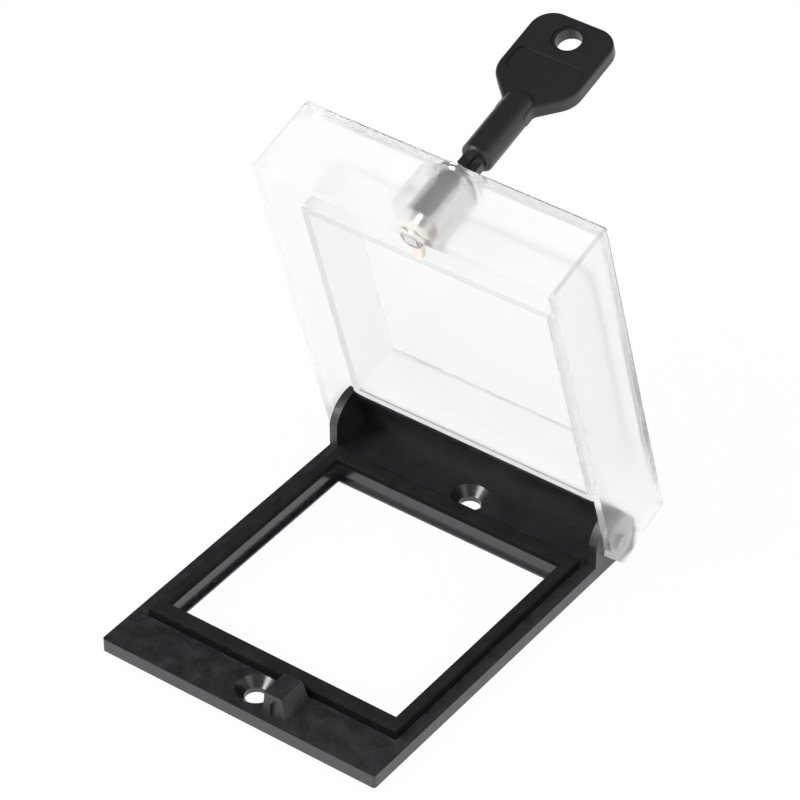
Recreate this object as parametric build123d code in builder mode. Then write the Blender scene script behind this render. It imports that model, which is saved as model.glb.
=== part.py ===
# Lockable transparent cover for a panel instrument
# A black frame is screwed over a panel cut-out. A clear lid swings over its window and locks with a key.
# Millimetres. X runs along the hinge, Y from the lock to the hinge, Z out of the panel.
# The origin is the centre of the window, on the panel face. The lid is modelled open, as it is seen.

from build123d import *
import os
from math import acos, cos, degrees, hypot, radians, sin

os.makedirs("parts", exist_ok=True)

# How far a cut runs past the face that it opens
overrun = 1.0

# Frame
window_size = 50.0
window_lip = 0.9
window_lip_thickness = 0.4
window_rim_width = 0.9
window_rim_stand = 0.55
window_draft = 8.0
plate_thickness = 2.75
plate_corner_radius = 0.6
side_margin = 2.6
front_margin = 5.75
screw_hole_diameter = 4.2
countersink_diameter = 7.5
countersink_angle = 90.0
screw_gap = 0.15
ejector_mark_diameter = 4.6
ejector_mark_depth = 0.08
ejector_mark_side_inset = 5.6
front_ejector_mark_setback = 0.75
rear_ejector_marks = ((-10.5, 1.95), (9.7, 3.8), (21.7, 2.55))

# Gasket
gasket_side_band = 2.25
gasket_end_band = 3.2
gasket_stand = 1.85
gasket_groove_depth = 0.5
gasket_clearance = 0.15
gasket_edge_radius = 0.45

# Hinge
hinge_setback = 3.5
hinge_height = 4.97
open_angle = 73.4
pin_diameter = 3.2
pin_running_clearance = 0.08
pin_end_clearance = 0.1
ear_skin = 0.45
cheek_thickness = 1.7
cheek_reach = 6.5
cheek_front_rise = 2.7
cheek_crown = 7.6
cheek_nose_radius = 6.2
cheek_web_reach = 2.3
cheek_web_rise = 1.1
cheek_web_radius = 2.6
back_wall_rise = 6.75
back_wall_lean = 0.85
back_wall_foot = 2.6
trough_radius = 14.0
back_radius = 5.3
back_tuck_angle = 10.0
back_draft = 0.55

# Lid shell
lid_height = 16.4
lid_rim_height = 1.2
lid_side_wall = 1.5
lid_front_wall = 1.8
lid_end_wall = 1.7
lid_top = 1.5
lid_side_gap = 0.3
lid_front_gap = 1.2
lid_end_reach = 3.4
lid_end_rise = 5.5
lid_corner_radius = 0.7
lid_edge_radius = 0.5
ear_radius = 4.35
ear_flat_distance = 3.3
ear_flat_angle = 30.0
ear_notch_inset = 0.35
gate_mark_diameter = 1.4
gate_mark_height = 0.4

# Pressing frame inside the lid
ring_wall = 1.5
ring_seal_gap = 0.3
ring_side_inset = 0.35
ring_front_inset = 0.1
ring_rear_inset = 2.2
ring_corner_radius = 0.8

# Lock boss and barrel
lock_setback = 5.8
lock_offset = -0.5
boss_wall = 1.3
boss_bottom_height = 6.5
collar_rise = 0.5
barrel_wall = 1.04
barrel_flange_rim = 0.6
barrel_flange_thickness = 0.8
barrel_floor = 1.2
barrel_fit = 0.03
plug_running_clearance = 0.06
plug_neck_diameter = 4.0
plug_end_play = 0.1
tang_size = 2.6
tang_fit = 0.05
keyway_floor = 0.4

# Cam and its clip
cam_thickness = 1.1
cam_hub_radius = 2.7
cam_reach = 6.0
cam_root_width = 3.4
cam_tip_width = 2.4
cam_gap = 1.5
clip_thickness = 0.4
clip_diameter = 4.6
clip_groove_depth = 0.3
clip_mouth_width = 1.7
tang_end_length = 0.2

# Strike hook on the frame
hook_side_gap = 0.8
hook_lip_reach = 2.4
hook_lip_chamfer = 0.2
hook_lip_clearance = 0.3
hook_lip_thickness = 0.9
hook_top_width = 3.75
hook_slope = 1.6
hook_length = 6.0
hook_end_web = 0.7
hook_foot_flare = 0.8
hook_gasket_gap = 0.6
hook_root_depth = 0.5
gusset_height = 2.4
gusset_length = 1.9
gusset_inset = 0.2
gusset_width = 1.2

# Wafers and their springs
wafer_count = 5
wafer_thickness = 0.8
wafer_width = 3.0
wafer_bridge = 0.25
wafer_slot_clearance = 0.1
wafer_first = 1.2
wafer_face_margin = 0.6
wafer_end_inset = 0.05
wafer_groove_depth = 0.35
wafer_tab_width = 0.5
spring_diameter = 0.6
spring_bore = 0.3
spring_length = 1.5
spring_start = 1.4

# Key
blade_width = 4.2
blade_thickness = 1.8
blade_clearance = 0.08
blade_tip_gap = 0.2
blade_exposed = 5.1
blade_groove_width = 1.1
blade_groove_depth = 0.35
blade_groove_offset = 0.5
blade_cuts = (0.35, 0.6, 0.25, 0.5, 0.4)
stem_length = 13.5
stem_diameter = 6.3
stem_end_radius = 0.9
stem_root_length = 2.2
stem_root_radius = 1.6
bow_width = 17.0
bow_length = 21.15
bow_thickness = 3.0
bow_edge_radius = 0.6
bow_crown_radius = 4.4
bow_shoulder_height = 5.0
bow_shoulder_radius = 5.3
bow_neck_radius = 1.2
ring_hole_diameter = 4.9
ring_hole_setback = 4.75
ring_hole_lip = 0.75
ring_hole_lip_depth = 0.3
bow_panel_length = 14.4
bow_panel_height = 5.6
bow_panel_depth = 0.3
bow_panel_radius = 1.6
bow_panel_setback = 12.35

# Worked out for the frame
half_window = window_size / 2
frame_half_width = half_window + gasket_side_band + gasket_clearance + side_margin
gasket_half_width = half_window + gasket_side_band
gasket_half_length = half_window + gasket_end_band
screw_y = gasket_half_length + gasket_clearance + screw_gap + countersink_diameter / 2
front_y = -screw_y - front_margin
hinge_y = screw_y + hinge_setback
gasket_top = plate_thickness + gasket_stand
cheek_front_y = hinge_y - cheek_reach
back_foot_y = hinge_y + back_radius - back_draft
trough_back_y = hinge_y + back_radius - back_wall_foot
cheek_inner_x = frame_half_width - cheek_thickness
wall_top = hinge_height + back_wall_rise
wall_back_y = hinge_y + back_wall_lean
back_arc_angle = back_tuck_angle + degrees(acos(back_wall_lean / back_radius))

# Worked out for the lid, as heights above the hinge and lengths beyond it when the lid is shut
lid_half_width = frame_half_width + lid_side_gap + lid_side_wall
ear_inner_x = frame_half_width + lid_side_gap
rim_w = lid_rim_height - hinge_height
face_w = rim_w + lid_height
lid_roof_w = face_w - lid_top
free_v = front_y - lid_front_gap - lid_front_wall - hinge_y
lid_inner_front_v = free_v + lid_front_wall
lid_inner_end_v = lid_end_reach - lid_end_wall
lid_length = lid_end_reach - free_v
lid_middle_v = free_v + lid_length / 2
ring_bottom_w = gasket_top + ring_seal_gap - hinge_height
ring_front_v = -gasket_half_length + ring_front_inset - hinge_y
ring_rear_v = gasket_half_length - ring_rear_inset - hinge_y
ring_half_width = gasket_half_width - ring_side_inset
boss_bottom_w = boss_bottom_height - hinge_height
lock_v = free_v + lock_setback
collar_w = face_w + collar_rise

# Worked out for the lock
plug_bottom_w = boss_bottom_w + barrel_floor + plug_end_play
wafer_half_length = blade_width / 2 + blade_clearance + wafer_bridge
plug_radius = hypot(wafer_half_length + wafer_end_inset, wafer_width / 2)
barrel_bore_radius = plug_radius + plug_running_clearance
barrel_radius = barrel_bore_radius + barrel_wall
flange_radius = barrel_radius + barrel_flange_rim
boss_radius = barrel_radius + boss_wall
wafer_pitch = (collar_w - plug_bottom_w - wafer_first - wafer_face_margin) / wafer_count
cam_top_w = boss_bottom_w - cam_gap
cam_bottom_w = cam_top_w - cam_thickness
tang_bottom_w = cam_bottom_w - clip_thickness - tang_end_length
keyway_bottom_w = plug_bottom_w + keyway_floor
blade_tip_w = keyway_bottom_w + blade_tip_gap
stem_bottom_w = collar_w + blade_exposed

# Planes of the lid: along the hinge, along the lid and out of its face, turned open about the hinge
lid_normal = (0.0, sin(radians(open_angle)), cos(radians(open_angle)))
lid_along = (0.0, cos(radians(open_angle)), -sin(radians(open_angle)))


def lid_plane(w):
    """Return the plane that lies w above the hinge axis, square to the lid's face."""
    origin = (0.0, hinge_y + w * lid_normal[1], hinge_height + w * lid_normal[2])
    return Plane(origin=origin, x_dir=(1, 0, 0), z_dir=lid_normal)


def lid_side_plane(x):
    """Return the plane at x whose axes run along the lid and out of its face."""
    return Plane(origin=(x, hinge_y, hinge_height), x_dir=lid_along, z_dir=(1, 0, 0))


def lock_plane(w):
    """Return the plane across the lock axis at height w above the hinge axis."""
    return lid_plane(w).shift_origin(lid_plane(w).from_local_coords((lock_offset, lock_v, 0)))


def key_plane(w, offset=0.0):
    """Return the plane along the key's flat, from height w, at an offset towards its upper face."""
    flat = lock_plane(w)
    origin = flat.from_local_coords((0, -offset, 0))
    return Plane(origin=origin, x_dir=flat.x_dir, z_dir=-flat.y_dir)


def corners_at(sketch, height, tolerance=0.001):
    """Return the sketch's corners that lie at one height of its plane."""
    return sketch.vertices().filter_by_position(Axis.Y, height - tolerance, height + tolerance)


# Base frame
with BuildPart() as base_frame:
    with BuildSketch(Plane.XY):
        with Locations((0, (front_y + trough_back_y) / 2)):
            RectangleRounded(2 * frame_half_width, trough_back_y - front_y, plate_corner_radius)
    extrude(amount=plate_thickness)
    # Curled back wall behind the trough
    with BuildSketch(Plane.YZ.offset(-frame_half_width)):
        with BuildLine():
            back_arc = CenterArc((hinge_y, hinge_height), back_radius, -back_tuck_angle, back_arc_angle)
            Polyline(back_arc @ 1, (wall_back_y, wall_top), (hinge_y - back_wall_lean, wall_top))
            RadiusArc((hinge_y - back_wall_lean, wall_top), (trough_back_y, plate_thickness), trough_radius)
            Polyline(
                (trough_back_y, plate_thickness),
                (hinge_y, plate_thickness),
                (hinge_y, 0),
                (back_foot_y, 0),
                back_arc @ 0,
            )
        make_face()
    extrude(amount=2 * frame_half_width)
    # Two cheeks that close the trough and carry the hinge
    for cheek_x in (-frame_half_width, cheek_inner_x):
        with BuildSketch(Plane.YZ.offset(cheek_x)):
            with BuildLine():
                back_arc = CenterArc((hinge_y, hinge_height), back_radius, -back_tuck_angle, back_arc_angle)
                crown = (hinge_y, hinge_height + cheek_crown)
                nose = (cheek_front_y, hinge_height + cheek_front_rise)
                Polyline(back_arc @ 1, (wall_back_y, wall_top), crown)
                RadiusArc(nose, crown, cheek_nose_radius)
                Polyline(nose, (cheek_front_y, 0), (back_foot_y, 0), back_arc @ 0)
            make_face()
        extrude(amount=cheek_thickness)
    # Raised rim around the window, under the gasket's inner edge
    with BuildSketch(Plane.XY.offset(plate_thickness - overrun)):
        Rectangle(window_size + 2 * window_rim_width, window_size + 2 * window_rim_width)
    extrude(amount=overrun + window_rim_stand)
    # Window with its lip and drafted walls, and the groove that holds the gasket
    with BuildSketch(Plane.XY.offset(window_lip_thickness)):
        Rectangle(window_size, window_size)
    extrude(
        amount=plate_thickness + window_rim_stand - window_lip_thickness,
        taper=-window_draft,
        mode=Mode.SUBTRACT,
    )
    with BuildSketch(Plane.XY):
        Rectangle(window_size - 2 * window_lip, window_size - 2 * window_lip)
    extrude(amount=plate_thickness, mode=Mode.SUBTRACT)
    with BuildSketch(Plane.XY.offset(plate_thickness - gasket_groove_depth)):
        Rectangle(
            2 * (gasket_half_width + gasket_clearance),
            2 * (gasket_half_length + gasket_clearance),
        )
        Rectangle(
            window_size + 2 * window_rim_width,
            window_size + 2 * window_rim_width,
            mode=Mode.SUBTRACT,
        )
    extrude(amount=gasket_groove_depth, mode=Mode.SUBTRACT)
    # Webs in the corners between the back wall and the cheeks
    for side in (-1, 1):
        web_x = side * cheek_inner_x
        web_tip_x = side * (cheek_inner_x - cheek_web_reach)
        with BuildSketch(Plane.XZ.offset(-hinge_y + back_wall_lean)):
            with BuildLine():
                RadiusArc(
                    (web_tip_x, wall_top),
                    (web_x, wall_top + cheek_web_rise),
                    side * cheek_web_radius,
                )
                Polyline(
                    (web_x, wall_top + cheek_web_rise),
                    (web_x, wall_top),
                    (web_tip_x, wall_top),
                )
            make_face()
        extrude(amount=-back_wall_lean)
    # Strike hook: its lip hangs over the cam's path, open towards the screw hole
    hook_lip_bottom = hinge_height + cam_top_w + hook_lip_clearance
    hook_top = hook_lip_bottom + hook_lip_thickness
    hook_stem_x = lock_offset + cam_reach + hook_side_gap
    hook_left_x = hook_stem_x - hook_lip_reach
    hook_right_x = hook_left_x + hook_top_width
    hook_root_z = plate_thickness - hook_root_depth
    hook_end_y = -gasket_half_length - gasket_clearance - hook_gasket_gap
    with BuildSketch(Plane.XZ.offset(-hook_end_y)):
        with BuildLine():
            Polyline(
                (hook_stem_x, hook_root_z),
                (hook_stem_x, hook_lip_bottom),
                (hook_left_x + hook_lip_chamfer, hook_lip_bottom),
                (hook_left_x, hook_top),
                (hook_right_x, hook_top),
                (hook_right_x + hook_slope, plate_thickness),
                (hook_right_x + hook_slope, hook_root_z),
                close=True,
            )
        make_face()
    extrude(amount=hook_length + hook_foot_flare)
    # Web that closes the hook's outer end and stops the cam, with a small gusset before it
    hook_outer_y = hook_end_y - hook_length
    with BuildSketch(Plane.XZ.offset(-hook_outer_y - hook_end_web)):
        with BuildLine():
            Polyline(
                (hook_left_x + hook_lip_chamfer, hook_root_z),
                (hook_left_x + hook_lip_chamfer, hook_lip_bottom),
                (hook_stem_x, hook_lip_bottom),
                (hook_stem_x, hook_root_z),
                close=True,
            )
        make_face()
    extrude(amount=hook_end_web + hook_foot_flare)
    # The hook's outer end leans out towards its foot
    with BuildSketch(Plane.YZ.offset(hook_left_x - overrun)):
        with BuildLine():
            Polyline(
                (hook_outer_y, hook_top),
                (hook_outer_y - hook_foot_flare, plate_thickness),
                (hook_outer_y - hook_foot_flare - overrun, plate_thickness),
                (hook_outer_y - hook_foot_flare - overrun, hook_top + overrun),
                (hook_outer_y, hook_top + overrun),
                close=True,
            )
        make_face()
    extrude(amount=hook_top_width + hook_slope + 2 * overrun, mode=Mode.SUBTRACT)
    gusset_x = hook_stem_x - gusset_inset
    with BuildSketch(Plane.XZ.offset(-hook_outer_y)):
        with BuildLine():
            Polyline(
                (gusset_x - gusset_length, plate_thickness),
                (gusset_x, plate_thickness + gusset_height),
                (gusset_x, hook_root_z),
                (gusset_x - gusset_length, hook_root_z),
                close=True,
            )
        make_face()
    extrude(amount=gusset_width)
    # Countersunk screw holes, which also cut the foot of the hook
    with Locations(Plane.XY.offset(plate_thickness)):
        with GridLocations(0, 2 * screw_y, 1, 2):
            CounterSinkHole(
                screw_hole_diameter / 2,
                countersink_diameter / 2,
                counter_sink_angle=countersink_angle,
            )
    # Trunnions on the cheeks
    pin_end_x = lid_half_width - ear_skin - pin_end_clearance
    for side in (-1, 1):
        with BuildSketch(Plane.YZ.offset(side * cheek_inner_x)):
            with Locations((hinge_y, hinge_height)):
                Circle(pin_diameter / 2)
        extrude(amount=side * (pin_end_x - cheek_inner_x))
    # Ejector pin marks on the plate and on the trough floor
    front_mark_y = -screw_y - front_ejector_mark_setback
    ejector_marks = [(ejector_mark_side_inset - frame_half_width, front_mark_y)]
    for mark_x, mark_setback in rear_ejector_marks:
        ejector_marks.append((mark_x, screw_y + mark_setback))
    with BuildSketch(Plane.XY.offset(plate_thickness - ejector_mark_depth)):
        with Locations(*ejector_marks):
            Circle(ejector_mark_diameter / 2)
    extrude(amount=ejector_mark_depth, mode=Mode.SUBTRACT)

base_frame.part.label = "base_frame"
export_step(base_frame.part, "parts/base_frame.step")

# Window gasket
with BuildPart() as window_gasket:
    with BuildSketch(Plane.XY.offset(plate_thickness - gasket_groove_depth)):
        Rectangle(2 * gasket_half_width, 2 * gasket_half_length)
        Rectangle(window_size, window_size, mode=Mode.SUBTRACT)
    extrude(amount=gasket_groove_depth + gasket_stand)
    fillet(window_gasket.faces().sort_by(Axis.Z)[-1].edges(), gasket_edge_radius)
    # Step in the underside that sits on the window's rim
    rim_outer = window_size + 2 * (window_rim_width + gasket_clearance)
    with BuildSketch(Plane.XY.offset(plate_thickness - gasket_groove_depth)):
        Rectangle(rim_outer, rim_outer)
    extrude(amount=gasket_groove_depth + window_rim_stand, mode=Mode.SUBTRACT)

window_gasket.part.label = "window_gasket"
export_step(window_gasket.part, "parts/window_gasket.step")

# Clear lid
with BuildPart() as clear_lid:
    with BuildSketch(lid_plane(rim_w)):
        with Locations((0, lid_middle_v)):
            RectangleRounded(2 * lid_half_width, lid_length, lid_corner_radius)
    extrude(amount=lid_height)
    fillet(clear_lid.faces().sort_by(Axis((0, 0, 0), lid_normal))[-1].edges(), lid_edge_radius)
    # Hollow of the shell
    with BuildSketch(lid_plane(rim_w)):
        with Locations((0, (lid_inner_front_v + lid_inner_end_v) / 2)):
            Rectangle(2 * ear_inner_x, lid_inner_end_v - lid_inner_front_v)
    extrude(amount=lid_height - lid_top, mode=Mode.SUBTRACT)
    # The end wall stops short so that it passes round the curled back wall
    with BuildSketch(lid_plane(rim_w)):
        with Locations((0, (lid_end_reach + overrun) / 2)):
            Rectangle(2 * ear_inner_x, lid_end_reach + overrun)
    extrude(amount=lid_end_rise - rim_w, mode=Mode.SUBTRACT)
    # Side walls are cut back behind the ears
    with BuildSketch(lid_side_plane(-lid_half_width)):
        with BuildLine():
            Polyline(
                (0, rim_w - overrun),
                (0, ear_radius - ear_notch_inset),
                (lid_end_reach, lid_end_rise),
                (lid_end_reach + overrun, lid_end_rise),
                (lid_end_reach + overrun, rim_w - overrun),
                close=True,
            )
        make_face()
    extrude(amount=2 * lid_half_width, mode=Mode.SUBTRACT)
    flat_reach = ear_flat_distance + ear_radius
    flat_centre = (
        flat_reach * sin(radians(ear_flat_angle)),
        -flat_reach * cos(radians(ear_flat_angle)),
    )
    for ear_x in (-lid_half_width, ear_inner_x):
        with BuildSketch(lid_side_plane(ear_x)):
            Circle(ear_radius)
            with Locations(flat_centre):
                Rectangle(2 * ear_radius, 2 * ear_radius, rotation=ear_flat_angle, mode=Mode.SUBTRACT)
        extrude(amount=lid_side_wall)
    # Pressing frame over the gasket
    with BuildSketch(lid_plane(ring_bottom_w)):
        with Locations((0, (ring_front_v + ring_rear_v) / 2)):
            RectangleRounded(2 * ring_half_width, ring_rear_v - ring_front_v, ring_corner_radius)
            Rectangle(
                2 * (ring_half_width - ring_wall),
                ring_rear_v - ring_front_v - 2 * ring_wall,
                mode=Mode.SUBTRACT,
            )
    extrude(amount=lid_roof_w - ring_bottom_w + lid_top / 2)
    # Lock boss, joined to the front wall, and the collar on the face
    with BuildSketch(lid_plane(boss_bottom_w)):
        with Locations((lock_offset, lock_v)):
            Circle(boss_radius)
        with Locations((lock_offset, (free_v + lid_front_wall / 2 + lock_v) / 2)):
            Rectangle(2 * boss_radius, lock_v - free_v - lid_front_wall / 2)
    extrude(amount=lid_roof_w - boss_bottom_w + lid_top / 2)
    with BuildSketch(lid_plane(face_w - lid_top / 2)):
        with Locations((lock_offset, lock_v)):
            Circle(boss_radius)
    extrude(amount=collar_rise + lid_top / 2)
    # Seat of the lock barrel
    with BuildSketch(lid_plane(boss_bottom_w)):
        with Locations((lock_offset, lock_v)):
            Circle(barrel_radius + barrel_fit)
    extrude(amount=collar_w - boss_bottom_w, mode=Mode.SUBTRACT)
    with BuildSketch(lid_plane(collar_w - barrel_flange_thickness)):
        with Locations((lock_offset, lock_v)):
            Circle(flange_radius + barrel_fit)
    extrude(amount=barrel_flange_thickness, mode=Mode.SUBTRACT)
    # Blind hinge holes, open on the inner faces of the ears
    with BuildSketch(lid_side_plane(ear_skin - lid_half_width)):
        Circle(pin_diameter / 2 + pin_running_clearance)
    extrude(amount=2 * (lid_half_width - ear_skin), mode=Mode.SUBTRACT)
    # Gate mark at the free corner
    gate_v = free_v + lid_corner_radius + gate_mark_diameter / 2
    gate_w = face_w - lid_edge_radius - gate_mark_diameter / 2
    with BuildSketch(lid_side_plane(-lid_half_width)):
        with Locations((gate_v, gate_w)):
            Circle(gate_mark_diameter / 2)
    extrude(amount=-gate_mark_height)

clear_lid.part.label = "clear_lid"
export_step(clear_lid.part, "parts/clear_lid.step")

# Lock barrel
with BuildPart() as lock_barrel:
    with BuildSketch(lid_plane(boss_bottom_w)):
        with Locations((lock_offset, lock_v)):
            Circle(barrel_radius)
    extrude(amount=collar_w - boss_bottom_w)
    with BuildSketch(lid_plane(collar_w - barrel_flange_thickness)):
        with Locations((lock_offset, lock_v)):
            Circle(flange_radius)
    extrude(amount=barrel_flange_thickness)
    with BuildSketch(lid_plane(boss_bottom_w)):
        with Locations((lock_offset, lock_v)):
            Circle(plug_neck_diameter / 2 + plug_running_clearance)
    extrude(amount=barrel_floor, mode=Mode.SUBTRACT)
    with BuildSketch(lid_plane(boss_bottom_w + barrel_floor)):
        with Locations((lock_offset, lock_v)):
            Circle(barrel_bore_radius)
    extrude(amount=collar_w - boss_bottom_w - barrel_floor, mode=Mode.SUBTRACT)
    # Grooves that the wafers spring into when the key is out
    with BuildSketch(lid_plane(plug_bottom_w)):
        with Locations((lock_offset, lock_v)):
            Rectangle(
                2 * (barrel_bore_radius + wafer_groove_depth),
                wafer_width + 2 * wafer_slot_clearance,
            )
    extrude(amount=wafer_first + wafer_count * wafer_pitch, mode=Mode.SUBTRACT)

lock_barrel.part.label = "lock_barrel"
export_step(lock_barrel.part, "parts/lock_barrel.step")

# Wafer and spring sizes that the plug's pockets follow
wafer_window_width = blade_thickness + 2 * blade_clearance
spring_reach_y = wafer_width / 2 + wafer_slot_clearance + spring_diameter
tab_start_x = spring_length - spring_start
pocket_start_x = -spring_start - wafer_slot_clearance
pocket_end_x = tab_start_x + wafer_tab_width + wafer_groove_depth + wafer_slot_clearance
pocket_length = pocket_end_x - pocket_start_x
pocket_middle_x = (pocket_start_x + pocket_end_x) / 2
pocket_reach = spring_reach_y + wafer_slot_clearance
pocket_middle_y = pocket_reach / 2

# Lock plug
with BuildPart() as lock_plug:
    with BuildSketch(lock_plane(plug_bottom_w)):
        Circle(plug_radius)
    extrude(amount=collar_w - plug_bottom_w)
    with BuildSketch(lock_plane(cam_top_w)):
        Circle(plug_neck_diameter / 2)
    extrude(amount=plug_bottom_w - cam_top_w)
    with BuildSketch(lock_plane(tang_bottom_w)):
        Rectangle(tang_size, tang_size)
    extrude(amount=cam_top_w - tang_bottom_w)
    # Groove for the clip
    with BuildSketch(lock_plane(tang_bottom_w + tang_end_length)):
        Rectangle(2 * tang_size, 2 * tang_size)
        Rectangle(
            tang_size - 2 * clip_groove_depth,
            tang_size - 2 * clip_groove_depth,
            mode=Mode.SUBTRACT,
        )
    extrude(amount=clip_thickness, mode=Mode.SUBTRACT)
    # Keyway
    with BuildSketch(lock_plane(keyway_bottom_w)):
        Rectangle(blade_width + 2 * blade_clearance, blade_thickness + 2 * blade_clearance)
    extrude(amount=collar_w - keyway_bottom_w, mode=Mode.SUBTRACT)
    # Slots for the wafers
    for wafer_index in range(wafer_count):
        wafer_w = plug_bottom_w + wafer_first + wafer_index * wafer_pitch
        with BuildSketch(lock_plane(wafer_w - wafer_slot_clearance)):
            Rectangle(2 * plug_radius + overrun, wafer_width + 2 * wafer_slot_clearance)
            with Locations((pocket_middle_x, pocket_middle_y)):
                Rectangle(pocket_length, pocket_reach)
        extrude(amount=wafer_thickness + 2 * wafer_slot_clearance, mode=Mode.SUBTRACT)

lock_plug.part.label = "lock_plug"
export_step(lock_plug.part, "parts/lock_plug.step")

# Wafers, each with a spring that pushes on its tab
for wafer_index in range(wafer_count):
    wafer_name = f"wafer_{wafer_index + 1}"
    wafer_w = plug_bottom_w + wafer_first + wafer_index * wafer_pitch
    with BuildPart() as wafer:
        with BuildSketch(lock_plane(wafer_w)):
            Rectangle(2 * wafer_half_length, wafer_width)
            with Locations((tab_start_x + wafer_tab_width / 2, spring_reach_y / 2)):
                Rectangle(wafer_tab_width, spring_reach_y)
            Rectangle(blade_width + 2 * blade_clearance, wafer_window_width, mode=Mode.SUBTRACT)
        extrude(amount=wafer_thickness)
    wafer.part.label = wafer_name
    export_step(wafer.part, f"parts/{wafer_name}.step")

    spring_name = f"wafer_spring_{wafer_index + 1}"
    spring_centre = lock_plane(wafer_w + wafer_thickness / 2)
    spring_origin = spring_centre.from_local_coords(
        (-spring_start, spring_reach_y - spring_diameter / 2, 0)
    )
    with BuildPart() as wafer_spring:
        with BuildSketch(Plane(origin=spring_origin, x_dir=lid_normal, z_dir=(1, 0, 0))):
            Circle(spring_diameter / 2)
            Circle(spring_bore / 2, mode=Mode.SUBTRACT)
        extrude(amount=spring_length)
    wafer_spring.part.label = spring_name
    export_step(wafer_spring.part, f"parts/{spring_name}.step")

# Cam: hub with a square hole, and the tongue that turns under the hook
with BuildPart() as lock_cam:
    with BuildSketch(lock_plane(cam_bottom_w)):
        Circle(cam_hub_radius)
        with BuildLine():
            tip_start = cam_reach - cam_tip_width / 2
            Polyline((cam_root_width / 2, 0), (cam_tip_width / 2, tip_start))
            ThreePointArc((cam_tip_width / 2, tip_start), (0, cam_reach), (-cam_tip_width / 2, tip_start))
            Polyline((-cam_tip_width / 2, tip_start), (-cam_root_width / 2, 0), (cam_root_width / 2, 0))
        make_face()
        Rectangle(tang_size + 2 * tang_fit, tang_size + 2 * tang_fit, mode=Mode.SUBTRACT)
    extrude(amount=cam_thickness)

lock_cam.part.label = "lock_cam"
export_step(lock_cam.part, "parts/lock_cam.step")

# Clip that holds the cam on the plug
clip_slot = tang_size - 2 * clip_groove_depth + 2 * tang_fit
with BuildPart() as cam_clip:
    with BuildSketch(lock_plane(tang_bottom_w + tang_end_length)):
        Circle(clip_diameter / 2)
        Rectangle(clip_slot, clip_slot, mode=Mode.SUBTRACT)
        with Locations((0, -clip_diameter / 2)):
            Rectangle(clip_mouth_width, clip_diameter, mode=Mode.SUBTRACT)
    extrude(amount=clip_thickness)

cam_clip.part.label = "cam_clip"
export_step(cam_clip.part, "parts/cam_clip.step")

# Key
bow_bottom_w = stem_bottom_w + stem_length
half_bow = bow_width / 2
neck_half = stem_diameter / 2
with BuildPart() as key:
    # Bow: a rounded plate that narrows into the stem
    with BuildSketch(key_plane(bow_bottom_w)) as bow_outline:
        Polygon(
            (-neck_half, -stem_root_length),
            (neck_half, -stem_root_length),
            (neck_half, 0),
            (half_bow, bow_shoulder_height),
            (half_bow, bow_length),
            (-half_bow, bow_length),
            (-half_bow, bow_shoulder_height),
            (-neck_half, 0),
            align=None,
        )
        fillet(corners_at(bow_outline, bow_length), bow_crown_radius)
        fillet(corners_at(bow_outline, bow_shoulder_height), bow_shoulder_radius)
        fillet(corners_at(bow_outline, 0), bow_neck_radius)
    extrude(amount=bow_thickness / 2, both=True)
    flat_faces = key.faces().group_by(Axis((0, 0, 0), tuple(key_plane(0).z_dir)))
    fillet(flat_faces[0].edges() + flat_faces[-1].edges(), bow_edge_radius)
    # Hole for a key ring, with a sunk lip on each face
    ring_hole_w = bow_bottom_w + bow_length - ring_hole_setback
    with BuildSketch(key_plane(ring_hole_w)):
        Circle(ring_hole_diameter / 2)
    extrude(amount=bow_thickness, both=True, mode=Mode.SUBTRACT)
    # Sunk lip and sunk panel on each face, both left plain
    panel_w = bow_bottom_w + bow_length - bow_panel_setback
    for face_side in (-1, 1):
        lip_face = face_side * (bow_thickness / 2 - ring_hole_lip_depth)
        with BuildSketch(key_plane(ring_hole_w, lip_face)):
            Circle(ring_hole_diameter / 2 + ring_hole_lip)
        extrude(amount=face_side * bow_thickness, mode=Mode.SUBTRACT)
        panel_face = face_side * (bow_thickness / 2 - bow_panel_depth)
        with BuildSketch(key_plane(panel_w, panel_face)):
            RectangleRounded(bow_panel_length, bow_panel_height, bow_panel_radius)
        extrude(amount=face_side * bow_thickness, mode=Mode.SUBTRACT)
    # Round stem with softened ends, the upper one inside the bow
    with BuildSketch(key_plane(stem_bottom_w)) as stem_profile:
        with BuildLine():
            stem_top = stem_length + stem_root_length
            Polyline((0, 0), (neck_half, 0), (neck_half, stem_top), (0, stem_top), close=True)
        make_face()
        fillet(corners_at(stem_profile, 0).sort_by(Axis.X)[-1], stem_end_radius)
        fillet(corners_at(stem_profile, stem_top).sort_by(Axis.X)[-1], stem_root_radius)
    revolve(axis=Axis(tuple(key_plane(stem_bottom_w).origin), lid_normal))
    # Blade with a groove along it, and its bitting
    with BuildSketch(lock_plane(blade_tip_w)):
        Rectangle(blade_width, blade_thickness)
        with Locations((blade_groove_offset, -blade_thickness / 2)):
            Rectangle(blade_groove_width, 2 * blade_groove_depth, mode=Mode.SUBTRACT)
    extrude(amount=stem_bottom_w + stem_end_radius - blade_tip_w)
    for wafer_index, cut_depth in enumerate(blade_cuts):
        cut_w = plug_bottom_w + wafer_first + wafer_index * wafer_pitch + wafer_thickness / 2
        with BuildSketch(key_plane(cut_w)):
            Polygon(
                (-blade_width / 2, -wafer_pitch / 2),
                (-blade_width / 2 + cut_depth, -wafer_thickness / 3),
                (-blade_width / 2 + cut_depth, wafer_thickness / 3),
                (-blade_width / 2, wafer_pitch / 2),
                align=None,
            )
        extrude(amount=blade_thickness, both=True, mode=Mode.SUBTRACT)

key.part.label = "key"
export_step(key.part, "parts/key.step")
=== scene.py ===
"""Looks of the lockable transparent cover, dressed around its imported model."""

import logging
import math
from dataclasses import dataclass
from enum import Enum
from typing import Iterable, Optional, Union

import bmesh
import bpy
from mathutils import Matrix, Vector


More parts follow.
